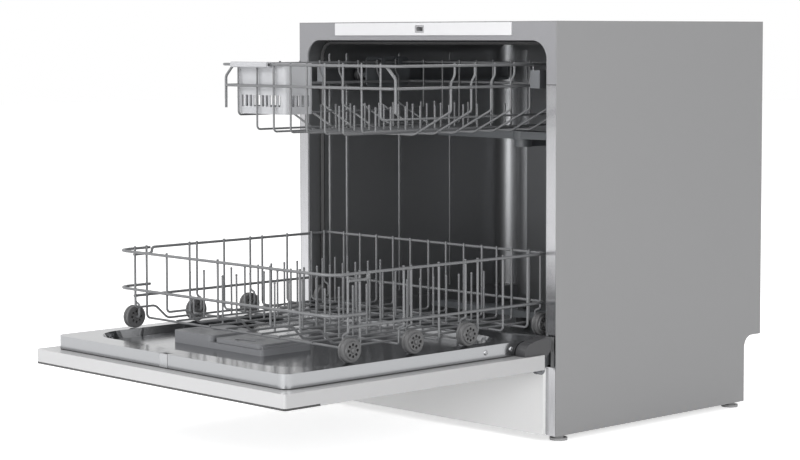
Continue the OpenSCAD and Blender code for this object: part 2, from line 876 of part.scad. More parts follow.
// Bows under the floor from rim to rim, and the wires that carry the wheels
module lower_bows() {
  s = lower_side;
  q = s - weld(rim_d, wall_d);
  in = s - 13.5;
  for (y = bow_y)
    wire([[-q, y, rack_top], [-q, y, lower_floor], [q, y, lower_floor], [q, y, rack_top]], wall_d, 7);
  z1 = axle_z + 23.5;
  z2 = axle_z + 20.5;
  wire([
    [-q, step_bow_y, rack_top], [-q, step_bow_y, z1], [-in, step_bow_y, z2],
    [-in, step_bow_y, lower_floor], [in, step_bow_y, lower_floor],
    [in, step_bow_y, z2], [q, step_bow_y, z1], [q, step_bow_y, rack_top]
  ], wall_d, 4);
  both_sides() for (y = wheel_y)
    wire([
      [q, y, rack_top], [q, y, z1], [in, y, z2], [in, y, axle_z], [s + wheel_w / 2 + 2.4, y, axle_z]
    ], wall_d, 4);
}

// Length wires: some start at the front hoops and slope down to the floor
module lower_lengths() {
  q = weld(rim_d, wall_d);
  f = lower_front;
  b = lower_rear - q;
  for (x = front_wire_x)
    wire([
      [x, f + q, rack_top], [x, f + q, axle_z + 21], [x, f + 42, axle_z + 21],
      [x, f + 66, floor_z], [x, b, floor_z], [x, b, rack_top]
    ], wall_d, 6);
  for (x = floor_wire_x)
    wire([[x, f + 53, floor_z], [x, b, floor_z], [x, b, rack_top]], floor_d, 6);
}

module plate_tines() {
  for (x = tine_x, i = [0:tines - 1]) {
    y = lower_front + 80 + i * tine_pitch;
    rod([x, y, floor_z], [x, y, lower_floor + tine_h], floor_d);
  }
}

module lower_rack() {
  color("silver") placed() {
    lower_hoops();
    lower_bows();
    lower_lengths();
    plate_tines();
  }
}

// Wheel i of one side, with a grooved tread and eight holes round its hub
module wheel(side, i) {
  r = wheel_d / 2;
  w = wheel_w / 2;
  color("dimgray") placed() translate([side * lower_side, wheel_y[i], axle_z]) rotate([0, side * 90, 0])
    difference() {
      rotate_extrude() polygon([
        [axle_r + run_gap, -w], [r - 1, -w], [r, -w + 1], [r, -2], [r - 1.2, -1.4], [r - 1.2, 1.4],
        [r, 2], [r, w - 1], [r - 1, w], [14, w], [13, w + 2], [axle_r + run_gap, w + 2]
      ]);
      for (k = [0:7]) rotate([0, 0, k * 45]) translate([8.6, 0, -w - 1]) cylinder(h = wheel_w + 4, r = 2.2);
    }
}

// ---- upper rack ----
v_y = [for (i = [0:6]) upper_front + 122 + 43.8 * i];
upper_wire_x = [-168, -121, -80, -39, 0, 42, 84, 126, 168];
short_tine_x = [-80, 0, 84];
v_flat = 116;
v_side = upper_side - weld(rim_d, wall_d);
v_top = upper_rim_x - weld(rim_d, wall_d);
v_z = upper_z - 70;
upper_top = upper_z + 4;

// Height of the V-shaped floor under the length wires
function v_height(x) = upper_floor + max(0, abs(x) - v_flat) * (v_z - upper_floor) / (v_side - v_flat);

module upper_hoops() {
  s = upper_side;
  x = upper_rim_x;
  f = upper_front;
  b = upper_rear;
  q = weld(rim_d, rim_d);
  // rim round the corners, left open at the front
  wire([
    [-160, f, upper_z], [-x, f, upper_z], [-x, b, upper_z], [x, b, upper_z], [x, f, upper_z], [182, f, upper_z]
  ], rim_d, 12);
  // front wire, whose ends dip and run down the corners
  wire([
    [-s, f + q, v_z], [-s, f + q, upper_z - 19], [-s + 20, f + q, upper_z], [s - 20, f + q, upper_z],
    [s, f + q, upper_z - 19], [s, f + q, v_z]
  ], rim_d, 4);
  m = upper_z - 33.5;
  wire([[0, b, m], [-s, b, m], [-s, f, m], [s, f, m], [s, b, m], [0, b, m]], rim_d, 12);
}

module v_bows() {
  t = v_top;
  s = v_side;
  for (y = v_y)
    wire([
      [-t, y, upper_top], [-t, y, upper_z - 15], [-s, y, upper_z - 26], [-s, y, v_z],
      [-v_flat, y, upper_floor], [v_flat, y, upper_floor], [s, y, v_z],
      [s, y, upper_z - 26], [t, y, upper_z - 15], [t, y, upper_top]
    ], wall_d, 4);
}

module upper_lengths() {
  f = upper_front + weld(rim_d, floor_d);
  b = upper_rear - weld(rim_d, floor_d);
  for (x = upper_wire_x) {
    z = v_height(x) + weld(wall_d, floor_d) * (abs(x) > v_flat ? 1.1 : 1);
    wire([[x, f, upper_top], [x, f, z], [x, b, z], [x, b, upper_top]], floor_d, 6);
  }
  for (x = short_tine_x, i = [0:9]) {
    y = upper_front + 70 + 32 * i;
    z = v_height(x) + weld(wall_d, floor_d);
    rod([x, y, z], [x, y, upper_floor + short_tine_h], floor_d);
  }
}

module upper_rack() {
  color("silver") placed() {
    upper_hoops();
    v_bows();
    upper_lengths();
  }
}

// Plates clipped over the rims, with the axles of the rollers
module roller_brackets() {
  x = upper_rim_x + rim_d / 2 + run_gap;
  y0 = roller_y[0] - 20;
  y1 = roller_y[1] + 20;
  color("gray") placed() both_sides() {
    across_x(x, x + 3) round_box(y0, y1, upper_z - 42, upper_z + 9, 8);
    for (y = roller_y) {
      shaft_x(x + 3, roller_x + roller_w + 2.6, y, roller_z, 2.5);
      shaft_x(x + 3, roller_x - run_gap, y, roller_z, 5);
      shaft_x(roller_x + roller_w + run_gap, roller_x + roller_w + 2.6, y, roller_z, 4);
    }
    // hooks over the rim wire
    for (y = [y0 + 28, y1 - 32]) {
      block(x - 8, x, y, y + 8, upper_z + 4.6, upper_z + 7);
      block(x - 8, x - 6, y, y + 8, upper_z - 4, upper_z + 7);
    }
  }
}

module roller(side, i) {
  r = roller_d / 2;
  color("lightgray") placed() translate([side * roller_x, roller_y[i], roller_z]) rotate([0, side * 90, 0])
    rotate_extrude() polygon([
      [2.5 + run_gap, 0], [r - 1, 0], [r, 1], [r, roller_w - 1], [r - 1, roller_w],
      [7, roller_w], [7, roller_w - 2], [2.5 + run_gap, roller_w - 2]
    ]);
}

module cutlery_basket() {
  x0 = -179;
  x1 = -57;
  y0 = upper_front + 8;
  y1 = upper_front + 68;
  z0 = upper_z - 78.6;
  z1 = upper_z + 2;
  t = 2;
  color("gray") placed() difference() {
    across_z(z0, z1) round_box(x0, x1, y0, y1, 10);
    across_z(z0 + t, z1 + 1) round_box(x0 + t, x1 - t, y0 + t, y1 - t, 8);
    // a band of slots low in the walls, and holes in the floor
    for (i = [0:9]) block(x0 + 13 + 10 * i, x0 + 19 + 10 * i, y0 - 1, y1 + 1, z0 + 12, z0 + 30);
    for (i = [0:3]) block(x0 - 1, x1 + 1, y0 + 13 + 10 * i, y0 + 19 + 10 * i, z0 + 12, z0 + 30);
    for (i = [0:8], j = [0:3])
      block(x0 + 14 + 11 * i, x0 + 20 + 11 * i, y0 + 12 + 10 * j, y0 + 18 + 10 * j, z0 - 1, z0 + 3);
  }
}

module rack_grip() {
  y = upper_front;
  color("gray") placed() difference() {
    across_x(-178, -88) round_box(y - 6, y + 7.5, upper_z - 4.5, upper_z + 4.5, 3);
    shaft_x(-179, -87, y, upper_z, rim_d / 2 + 0.3);
    shaft_x(-179, -87, y + weld(rim_d, rim_d), upper_z, rim_d / 2 + 0.3);
    for (x = [-168, -121]) block(x - 2.2, x + 2.2, y, y + 9, upper_z - 6, upper_z + 6);
  }
}

side_panel_left();
side_panel_right();
top_panel();
back_panel();
base_tray();
plinth_panel();
levelling_feet();
front_frame();
crossbar_cover();
door_catch();
tub();
tub_gasket();
sill_seal();
upper_rails();
sump();
filter_plate();
filter_cartridge();
feed_pipe();
lower_spray_arm();
upper_spray_arm();
wash_pump();
drain_pump();
inlet_valve();
cable_gland();
salt_container();
salt_cap();
float();
hinge_brackets();
hinge_arms();
door_outer_panel();
control_fascia();
control_board();
push_button(-button_x);  // power_button
push_button(button_x);  // start_button
door_edge_seal();
door_liner();
corner_seals();
door_latch();
dispenser_body();
dispenser_lid();
rinse_aid_cap();
lower_rack();
wheel(-1, 0);  // wheel_left_1
wheel(-1, 1);  // wheel_left_2
wheel(-1, 2);  // wheel_left_3
wheel(-1, 3);  // wheel_left_4
wheel(1, 0);  // wheel_right_1
wheel(1, 1);  // wheel_right_2
wheel(1, 2);  // wheel_right_3
wheel(1, 3);  // wheel_right_4
upper_rack();
roller_brackets();
roller(-1, 0);  // roller_left_1
roller(-1, 1);  // roller_left_2
roller(1, 0);  // roller_right_1
roller(1, 1);  // roller_right_2
cutlery_basket();
rack_grip();
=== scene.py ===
import math
import bpy
import numpy as np
from mathutils import Matrix, Vector


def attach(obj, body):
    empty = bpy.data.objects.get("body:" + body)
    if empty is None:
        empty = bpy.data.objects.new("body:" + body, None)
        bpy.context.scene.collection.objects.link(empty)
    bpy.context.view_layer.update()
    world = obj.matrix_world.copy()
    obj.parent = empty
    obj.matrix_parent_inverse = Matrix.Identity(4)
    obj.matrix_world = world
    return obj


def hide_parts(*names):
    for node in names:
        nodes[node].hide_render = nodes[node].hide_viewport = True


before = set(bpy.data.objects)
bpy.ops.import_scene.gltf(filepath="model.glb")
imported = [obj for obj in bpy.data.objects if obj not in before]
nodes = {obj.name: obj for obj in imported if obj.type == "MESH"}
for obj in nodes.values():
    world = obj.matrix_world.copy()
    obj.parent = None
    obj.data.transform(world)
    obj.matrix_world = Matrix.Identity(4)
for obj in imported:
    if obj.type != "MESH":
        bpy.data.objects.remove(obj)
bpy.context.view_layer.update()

# ---------------------------------------------------------------- camera
# A long lens from the machine's front right, a little below its top. The
# picture is cropped off centre, so the lens is shifted and not tilted.
camera_data = bpy.data.cameras.new("photo_camera")
camera_data.sensor_fit = "HORIZONTAL"
camera_data.sensor_width = 36.0
# the lens is 2137.682 pixels long on a picture 800 pixels wide
camera_data.lens = 2137.682 / 800 * camera_data.sensor_width
camera_data.shift_x = 0.00457
camera_data.shift_y = -0.07197
camera_data.clip_start = 0.05
camera = bpy.data.objects.new("photo_camera", camera_data)
bpy.context.scene.collection.objects.link(camera)
azimuth, elevation, roll = (math.radians(a) for a in (46.67, 3.687, -0.102))
ahead = Vector((-math.sin(azimuth) * math.cos(elevation), math.cos(azimuth) * math.cos(elevation),
                -math.sin(elevation)))
level = Vector((math.cos(azimuth), math.sin(azimuth), 0.0))
upright = level.cross(ahead)
across = math.cos(roll) * level + math.sin(roll) * upright
upright = across.cross(ahead)
stand = Matrix.Translation((2.5073, -2.4031, 0.6291))
camera.matrix_world = stand @ Matrix((across, upright, -ahead)).transposed().to_4x4()
bpy.context.scene.camera = camera
bpy.context.scene.view_settings.view_transform = "Standard"


# ---------------------------------------------------------------- light and floor
# A white studio: wide soft lamps over the left front, low at the front, on the
# right and behind, and a pale floor. What the eye or a mirror sees is white.
def linear(code):
    """An sRGB hex colour, as linear red, green, blue and alpha."""
    parts = [int(code[i:i + 2], 16) / 255 for i in (1, 3, 5)]
    return tuple(c / 12.92 if c <= 0.04045 else ((c + 0.055) / 1.055) ** 2.4 for c in parts) + (1.0,)


def add(tree, kind, inputs=None, **settings):
    """A node of that kind. A value in inputs that is a socket is linked, and any other is set."""
    made = tree.nodes.new(kind)
    for key, value in settings.items():
        setattr(made, key, value)
    for key, value in (inputs or {}).items():
        if isinstance(value, bpy.types.NodeSocket):
            tree.links.new(value, made.inputs[key])
        else:
            made.inputs[key].default_value = value
    return made


world = bpy.data.worlds.new("white_studio")
bpy.context.scene.world = world
world.use_nodes = True
sky = world.node_tree
sky.nodes.clear()
path = add(sky, "ShaderNodeLightPath")
mirrored = add(sky, "ShaderNodeMath", {0: path.outputs["Is Camera Ray"], 1: path.outputs["Is Glossy Ray"]},
               operation="MAXIMUM")
seen = add(sky, "ShaderNodeMath", {0: mirrored.outputs[0], 1: path.outputs["Is Transmission Ray"]},
           operation="MAXIMUM")
dim = add(sky, "ShaderNodeBackground", {"Color": linear("#ffffff"), "Strength": 0.42})
white = add(sky, "ShaderNodeBackground", {"Color": linear("#ffffff"), "Strength": 1.0})
both = add(sky, "ShaderNodeMixShader", {0: seen.outputs[0], 1: dim.outputs[0], 2: white.outputs[0]})
add(sky, "ShaderNodeOutputWorld", {"Surface": both.outputs[0]})


def lamp(name, place, aim, width, height, power):
    """A rectangular soft lamp at place that faces aim."""
    data = bpy.data.lights.new(name, "AREA")
    data.shape, data.size, data.size_y, data.energy = "RECTANGLE", width, height, power
    made = bpy.data.objects.new(name, data)
    bpy.context.scene.collection.objects.link(made)
    turned = (Vector(aim) - Vector(place)).to_track_quat("-Z", "Y").to_matrix().to_4x4()
    made.matrix_world = Matrix.Translation(place) @ turned


lamp("key_lamp", (-1.3, -3.4, 2.9), (0, -0.1, 0.3), 2.6, 2.0, 92)
lamp("low_lamp", (0.9, -3.6, 0.42), (0, 0, 0.1), 2.4, 0.8, 46)
lamp("side_lamp", (3.5, -1.0, 1.6), (0.2, -0.1, 0.2), 2.4, 1.8, 56)
lamp("rear_lamp", (-1.2, 3.4, 2.6), (0, 0.2, 0.4), 2.2, 1.6, 40)


def blank_material(name):
    """A material whose node tree is empty, and that tree."""
    made = bpy.data.materials.new(name)
    made.use_nodes = True
    made.node_tree.nodes.clear()
    return made, made.node_tree


floor_mesh = bpy.data.meshes.new("studio_floor")
reach = 14  # metres to each side
floor_corners = [(-reach, -reach, 0), (reach, -reach, 0), (reach, reach, 0), (-reach, reach, 0)]
floor_mesh.from_pydata(floor_corners, [], [(0, 1, 2, 3)])
floor = bpy.data.objects.new("studio_floor", floor_mesh)
bpy.context.scene.collection.objects.link(floor)
floor_paint, tree = blank_material("pale_floor")
path = add(tree, "ShaderNodeLightPath")
lift = add(tree, "ShaderNodeMath", {0: path.outputs["Is Camera Ray"], 1: path.outputs["Is Glossy Ray"]},
           operation="MAXIMUM")
glow = add(tree, "ShaderNodeMath", {0: lift.outputs[0], 1: 0.66}, operation="MULTIPLY")
card = add(tree, "ShaderNodeBsdfPrincipled", {
    "Base Color": linear("#f4f4f4"), "Roughness": 0.9, "Specular IOR Level": 0.1,
    "Emission Color": linear("#ffffff"), "Emission Strength": glow.outputs[0]})
add(tree, "ShaderNodeOutputMaterial", {"Surface": card.outputs[0]})
floor_mesh.materials.append(floor_paint)


# ---------------------------------------------------------------- enamelled cabinet sheets
# Two side sheets and the top, of cold rolled steel 1 mm thick, folded at the
# edges and powder coated. The coat is satin, with the faint skin of an orange.
def finish_of(name, colour, rough, metal=0.0, tint=0.06, rough_spread=0.06, bump=0.0, size_mm=1.0,
              stretch=(1, 1, 1), coat=0.0, ior=1.5):
    """A surface whose colour, gloss and relief follow noise of size_mm on Object coordinates.

    stretch multiplies the coordinates, so 0.02 draws the noise out fifty times. bump is in mm."""
    made, t = blank_material(name)
    place = add(t, "ShaderNodeTexCoord")
    drawn = add(t, "ShaderNodeMapping", {"Vector": place.outputs["Object"], "Scale": stretch})
    fine = add(t, "ShaderNodeTexNoise",
               {"Vector": drawn.outputs[0], "Scale": 1000.0 / size_mm, "Detail": 2.0})
    broad = add(t, "ShaderNodeTexNoise", {"Vector": place.outputs["Object"], "Scale": 9.0, "Detail": 3.0})
    mottle = add(t, "ShaderNodeMath", {0: fine.outputs[0], 1: broad.outputs[0]}, operation="ADD")
    half = add(t, "ShaderNodeMath", {0: mottle.outputs[0], 1: 0.5}, operation="MULTIPLY")
    base = linear(colour)
    dark = tuple(c * (1 - tint) for c in base[:3]) + (1.0,)
    light = tuple(min(1.0, c * (1 + tint)) for c in base[:3]) + (1.0,)
    shade = add(t, "ShaderNodeMix", {0: half.outputs[0], 6: dark, 7: light}, data_type="RGBA")
    gloss = add(t, "ShaderNodeMapRange", {
        0: fine.outputs[0], 1: 0.25, 2: 0.75, 3: max(0.02, rough - rough_spread), 4: rough + rough_spread})
    shader = add(t, "ShaderNodeBsdfPrincipled", {
        "Base Color": shade.outputs[2], "Roughness": gloss.outputs[0], "Metallic": metal,
        "Coat Weight": coat, "Coat Roughness": 0.12})
    if not metal:
        shader.inputs["IOR"].default_value = ior
    if bump:
        relief = add(t, "ShaderNodeBump",
                     {"Height": fine.outputs[0], "Strength": 0.35, "Distance": bump / 1000})
        t.links.new(relief.outputs[0], shader.inputs["Normal"])
    add(t, "ShaderNodeOutputMaterial", {"Surface": shader.outputs[0]})
    return made


def dress(material, *names):
    """Gives the CAD pieces of those names the material."""
    for name in names:
        mesh = nodes[name].data
        mesh.materials.clear()
        mesh.materials.append(material)


# powder coat's skin has waves of about 2 mm, drawn as they are
cabinet_enamel = finish_of("grey_powder_coat", "#8f8f90", 0.42, tint=0.012, rough_spread=0.04,
                           bump=0.03, size_mm=2.2, coat=0.1)
dress(cabinet_enamel, "side_panel_left", "side_panel_right", "top_panel")


# ---------------------------------------------------------------- zinc coated back
# The back sheet is hot dip galvanised and left bare, so the crystals of the
# zinc show as patches 5 to 9 mm across. Hexagon screws hold it all round.
galvanised, tree = blank_material("hot_dip_zinc")
place = add(tree, "ShaderNodeTexCoord")
crystal = add(tree, "ShaderNodeTexVoronoi", {"Vector": place.outputs["Object"], "Scale": 150.0})
facet = add(tree, "ShaderNodeSeparateColor", {0: crystal.outputs["Color"]})
tone = add(tree, "ShaderNodeMix", {0: facet.outputs[0], 6: linear("#a2a5a7"), 7: linear("#b1b4b6")},
           data_type="RGBA")
gloss = add(tree, "ShaderNodeMapRange", {0: facet.outputs[1], 3: 0.32, 4: 0.5})
metal = add(tree, "ShaderNodeBsdfPrincipled",
            {"Base Color": tone.outputs[2], "Roughness": gloss.outputs[0], "Metallic": 0.85})
add(tree, "ShaderNodeOutputMaterial", {"Surface": metal.outputs[0]})
dress(galvanised, "back_panel")
zinc_plate = finish_of("bright_zinc_plate", "#b4b7ba", 0.3, metal=1.0, tint=0.05, size_mm=3.0)


def new_piece(name, points, faces, material, body, smooth=True):
    """A piece from arrays of points, in metres, and faces, that rides on a body."""
    mesh = bpy.data.meshes.new(name)
    mesh.from_pydata(np.asarray(points, float).tolist(), [], [list(map(int, f)) for f in faces])
    mesh.polygons.foreach_set("use_smooth", [smooth] * len(mesh.polygons))
    mesh.materials.append(material)
    mesh.update()
    made = bpy.data.objects.new(name, mesh)
    bpy.context.scene.collection.objects.link(made)
    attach(made, body)
    return made


def grid_faces(rows, columns, closed_rows=False, closed_columns=False):
    """Quads of a grid of rows by columns points, closed on itself in either direction if asked."""
    r = np.arange(rows if closed_rows else rows - 1)
    c = np.arange(columns if closed_columns else columns - 1)
    i, j = np.meshgrid(r, c, indexing="ij")
    i2, j2 = (i + 1) % rows, (j + 1) % columns
    quads = np.stack([i * columns + j, i * columns + j2, i2 * columns + j2, i2 * columns + j], -1)
    return quads.reshape(-1, 4)


def cap_on(points_at, axis, profile, sides, star=None):
    """Round caps at the points: a profile of (radius, height) turned about axis, closed at a pole.

    star = (share, depth, arms) sinks a star of that many arms into the top: the height falls by
    depth * (1 - r (0.35 + |sin(arms t / 2)|) / (share * widest r))^0.5 at radius r and turn t."""
    axis = np.array(axis, float) / np.linalg.norm(axis)
    side = np.cross(axis, [0.3, 0.5, 0.81])
    side /= np.linalg.norm(side)
    other = np.cross(axis, side)
    turn = np.linspace(0, 2 * np.pi, sides, endpoint=False)
    ring = np.outer(np.cos(turn), side) + np.outer(np.sin(turn), other)
    profile = np.array(profile, float)
    radius, height = profile[:, 0][:, None, None], profile[:, 1][:, None, None]
    shell = radius * ring[None] + height * axis
    if star:
        reach, depth, arms = star
        wave = np.abs(np.sin(turn * arms / 2))[None, :]
        outward = profile[:, 0][:, None] * (0.35 + wave) / (profile[:, 0].max() * reach)
        sunk = np.clip(1 - outward, 0, 1) ** 0.5
        shell = shell - (depth * sunk)[..., None] * axis
    pole = profile[-1, 1] * axis - (star[1] * axis if star else 0)
    rows = len(profile)
    one_faces = [list(f[::-1]) for f in grid_faces(rows, sides, closed_columns=True)]
    tip = rows * sides
    last = (rows - 1) * sides
    one_faces += [[last + (k + 1) % sides, last + k, tip][::-1] for k in range(sides)]
    one_points = np.vstack([shell.reshape(-1, 3), pole])
    every = (np.array(points_at, float)[:, None] + one_points[None]).reshape(-1, 3)
    faces = [[v + n * (tip + 1) for v in f] for n in range(len(points_at)) for f in one_faces]
    return every, faces


FRONT_Y = 16  # the cabinet's front plane in the row frame, in millimetres


def mm(x, y, z):
    """A point given from the cabinet's front plane in millimetres, in the row frame in metres."""
    return (x / 1000, (y + FRONT_Y) / 1000, z / 1000)


BACK_Y = 515
back_screws = [mm(x, BACK_Y, z) for x in (-290, 290) for z in (140, 300, 460, 630)]
back_screws += [mm(x, BACK_Y, z) for x in (-150, 0, 150) for z in (135, 640)]
# a six-sided flange, then the hexagon with its chamfer
hexagon_head = [(0.0058, 0), (0.0058, 0.0006), (0.0042, 0.0007), (0.0042, 0.0034), (0.0034, 0.0042),
                (0.0012, 0.0042)]
points, faces = cap_on(back_screws, (0, 1, 0), hexagon_head, 6)
new_piece("back_panel_screws", points, faces, zinc_plate, "cabinet", smooth=False)


# ---------------------------------------------------------------- base, feet and plinth
# The base is a moulded tray that carries the pumps. Four screw feet stand
# under it, and an enamelled kick plate closes the front.
tray_plastic = finish_of("black_moulded_polypropylene", "#3b3b3c", 0.5, tint=0.05, bump=0.05, size_mm=0.8)
pump_plastic = finish_of("glass_filled_polyamide", "#2c2c2e", 0.55, tint=0.08, bump=0.04, size_mm=0.6)
dress(tray_plastic, "base_tray", "cable_gland")
foot_plastic = finish_of("grey_polyethylene_foot", "#9e9e9f", 0.5, tint=0.04, bump=0.04, size_mm=0.8)
dress(foot_plastic, "levelling_feet")
dress(pump_plastic, "wash_pump", "drain_pump", "sump")
# The door shell and the kick plate wear one enamel, made here as two copies: the door's copy is darkened as
# painted shade against the key lamp on its edge, and the plinth's copy is lightened as painted light against
# the shade under the open door.
door_enamel_painted_shade = finish_of("door_enamel_darkened_as_painted_shade", "#b8b8b9", 0.36, tint=0.01, rough_spread=0.03,
                        bump=0.02, size_mm=2.2, coat=0.15)
plinth_enamel_painted_light = finish_of("plinth_enamel_lightened_as_painted_light", "#ececec", 0.4, tint=0.01, rough_spread=0.03,
                          bump=0.02, size_mm=2.2, coat=0.1)
# The kick plate wears the lightened copy, with painted light in its colour.
dress(plinth_enamel_painted_light, "plinth_panel")


# ---------------------------------------------------------------- front frame
# A pressed frame of polished stainless steel round the opening. Its rails are
# bright rolled; above the seam the frame is a coated corner of duller grey.
frame_steel, tree = blank_material("polished_stainless_frame")
place = add(tree, "ShaderNodeTexCoord")
height = add(tree, "ShaderNodeSeparateXYZ", {0: place.outputs["Object"]})
SEAM_Z = 0.552
above = add(tree, "ShaderNodeMath", {0: height.outputs[2], 1: SEAM_Z}, operation="GREATER_THAN")
seam = add(tree, "ShaderNodeMath", {0: height.outputs[2], 1: SEAM_Z, 2: 0.0005}, operation="COMPARE")
# rolling lines run up the strip, about 0.6 mm apart and 28 mm long
rolled = add(tree, "ShaderNodeMapping", {"Vector": place.outputs["Object"], "Scale": (1, 1, 0.02)})
lines = add(tree, "ShaderNodeTexNoise", {"Vector": rolled.outputs[0], "Scale": 1800.0, "Detail": 2.0})
bright = add(tree, "ShaderNodeMix", {0: lines.outputs[0], 6: linear("#a9a9ab"), 7: linear("#c4c4c7")},
             data_type="RGBA")
corner = add(tree, "ShaderNodeMix", {0: above.outputs[0], 6: bright.outputs[2], 7: linear("#8c8c8f")},
             data_type="RGBA")
lined = add(tree, "ShaderNodeMix", {0: seam.outputs[0], 6: corner.outputs[2], 7: linear("#3c3c3c")},
            data_type="RGBA")
gloss = add(tree, "ShaderNodeMapRange", {0: above.outputs[0], 3: 0.2, 4: 0.42})
metal_share = add(tree, "ShaderNodeMapRange", {0: above.outputs[0], 3: 1.0, 4: 0.25})
shader = add(tree, "ShaderNodeBsdfPrincipled", {
    "Base Color": lined.outputs[2], "Roughness": gloss.outputs[0], "Metallic": metal_share.outputs[0]})
add(tree, "ShaderNodeOutputMaterial", {"Surface": shader.outputs[0]})
dress(frame_steel, "front_frame")

# The cover over the bar is a pale moulding, with the latch's slot in it.
cover_plastic = finish_of("pale_satin_abs", "#d6d6d8", 0.4, tint=0.01, bump=0.01, size_mm=0.5)
catch_plastic = finish_of("light_acetal", "#a2a2a4", 0.4, tint=0.05, size_mm=0.5)
dress(cover_plastic, "crossbar_cover")
dress(catch_plastic, "door_catch")


# ---------------------------------------------------------------- tub
# The tub is welded from bright rolled stainless sheet, with beads pressed in
# its walls. The rolling grain runs up the walls and blurs what they mirror.
tub_steel = finish_of("bright_rolled_stainless", "#88898b", 0.36, metal=0.72, tint=0.07, rough_spread=0.05,
                      bump=0.01, size_mm=0.5, stretch=(1, 1, 0.02))
dress(tub_steel, "tub")
perforated = finish_of("punched_stainless_filter", "#8e8f91", 0.3, metal=1.0, tint=0.1, bump=0.1, size_mm=1.2)
dress(perforated, "filter_plate")
rail_steel = finish_of("zinc_plated_rail", "#6e7073", 0.42, metal=0.6, tint=0.05, size_mm=1.0,
                       stretch=(1, 0.05, 1))
dress(rail_steel, "upper_rails", "hinge_brackets", "hinge_arms")

# A rubber bulb runs round the mouth of the tub. It is one extruded oval, laid
# against the tub's wall and cut square at both feet.
rubber = finish_of("black_epdm_rubber", "#3a3a3b", 0.62, tint=0.05, bump=0.03, size_mm=0.7)


def arch_line(half_width, foot, top, radius, step=0.004):
    """Points along a door-shaped arch, up one side, round both corners and down, and the outward normals.

    Straight runs are even steps; each corner is a quarter turn of radius about its centre."""
    up = np.arange(foot, top - radius, step * 6)
    left = np.stack([np.full_like(up, -half_width), up], -1)
    angle = np.linspace(np.pi, np.pi / 2, 12)
    quarter = np.stack([np.cos(angle), np.sin(angle)], -1)
    corner_left = np.array([-half_width + radius, top - radius]) + radius * quarter
    flat = np.linspace(-half_width + radius, half_width - radius, 24)[1:-1]
    lintel = np.stack([flat, np.full_like(flat, top)], -1)
    half_line = np.vstack([left, corner_left])
    line = np.vstack([half_line, lintel, half_line[::-1] * [-1, 1]])
    normal_left = np.vstack([np.tile([-1.0, 0.0], (len(left), 1)), quarter])
    normal = np.vstack([normal_left, np.tile([0.0, 1.0], (len(lintel), 1)), normal_left[::-1] * [-1, 1]])
    return line, normal


line, normal = arch_line(half_width=0.2771, foot=0.1625, top=0.6201, radius=0.0306)
turn = np.linspace(0, 2 * np.pi, 20, endpoint=False)
# the oval is 7.2 mm deep from the wall inward, and 8.8 mm wide along Y about its middle
MIDDLE_Y = 0.045
inward = 0.0036 + 0.0032 * np.cos(turn) + 0.0004 * np.cos(3 * turn)
along = MIDDLE_Y + 0.0039 * np.sin(turn) - 0.0005 * np.sin(3 * turn)
ring_points = np.empty((len(line), len(turn), 3))
ring_points[..., 0] = line[:, None, 0] - normal[:, None, 0] * inward
ring_points[..., 1] = along
ring_points[..., 2] = line[:, None, 1] - normal[:, None, 1] * inward
faces = [list(f) for f in grid_faces(len(line), len(turn), closed_columns=True)]
faces += [list(range(len(turn)))[::-1], [(len(line) - 1) * len(turn) + k for k in range(len(turn))]]
bulb = new_piece("tub_mouth_seal", ring_points.reshape(-1, 3), faces, rubber, "cabinet")
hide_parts("tub_gasket")
dress(rubber, "sill_seal")


# ---------------------------------------------------------------- washing parts
# Spray arms, feed pipe, filter, float and salt cap are moulded polypropylene,
# as it comes from the mould: matt, with the fine grain of a spark-eroded tool.
arm_plastic = finish_of("mid_grey_polypropylene", "#5d6063", 0.45, tint=0.04, bump=0.03, size_mm=0.7)
filter_plastic = finish_of("light_grey_polypropylene", "#7c7f82", 0.48, tint=0.04, bump=0.05, size_mm=0.9)
dress(arm_plastic, "lower_spray_arm", "upper_spray_arm", "feed_pipe")
dress(filter_plastic, "filter_cartridge", "salt_cap", "float", "salt_container")
valve_plastic = finish_of("white_polyamide", "#dededb", 0.45, tint=0.02, bump=0.02, size_mm=0.6)
dress(valve_plastic, "inlet_valve")


# ---------------------------------------------------------------- door shell and controls
# The door's outer skin is folded from enamelled sheet, paler than the cabinet.
# A gloss black fascia closes its far end, with two metal keys.
# The shell wears the darkened copy of the enamel, with painted shade in its colour.
dress(door_enamel_painted_shade, "door_outer_panel")
fascia_gloss = finish_of("gloss_black_acrylic", "#0f0f10", 0.08, tint=0.02, rough_spread=0.02, size_mm=6.0,
                         coat=0.4, ior=1.49)
dress(fascia_gloss, "control_fascia")
key_metal = finish_of("spun_aluminium_key", "#b9bbbd", 0.3, metal=1.0, tint=0.08, size_mm=0.4)
dress(key_metal, "power_button", "start_button")
board_green = finish_of("solder_masked_laminate", "#1f6b3c", 0.4, tint=0.12, bump=0.05, size_mm=1.5)
dress(board_green, "control_board")

# Indicator lenses under the fascia: low smoked domes, five in a row.
lens = finish_of("smoked_polycarbonate_lens", "#7d8286", 0.15, tint=0.05, size_mm=1.0, coat=0.5, ior=1.58)
low_dome = [(0.0022, -0.0004), (0.0022, 0), (0.0018, 0.0004), (0.001, 0.0006)]
points, faces = cap_on([mm(-60 + 24 * i, -514, 116) for i in range(5)], (0, 0, -1), low_dome, 20)
new_piece("fascia_lenses", points, faces, lens, "door")

# A rubber strip is pressed in between the shell and the liner.
dress(rubber, "door_edge_seal")
corner_rubber = finish_of("grey_moulded_tpe", "#3e3e40", 0.5, tint=0.04, bump=0.03, size_mm=0.8)
dress(corner_rubber, "corner_seals")


# ---------------------------------------------------------------- door liner
# The liner is drawn from one stainless sheet into a shallow pan with a flat
# rim. Polishing leaves it brighter than the tub, with lines along its length.
liner_steel = finish_of("polished_drawn_stainless", "#9a9b9d", 0.17, metal=1.0, tint=0.05, rough_spread=0.05,
                        bump=0.008, size_mm=0.5, stretch=(0.02, 1, 1))
dress(liner_steel, "door_liner")
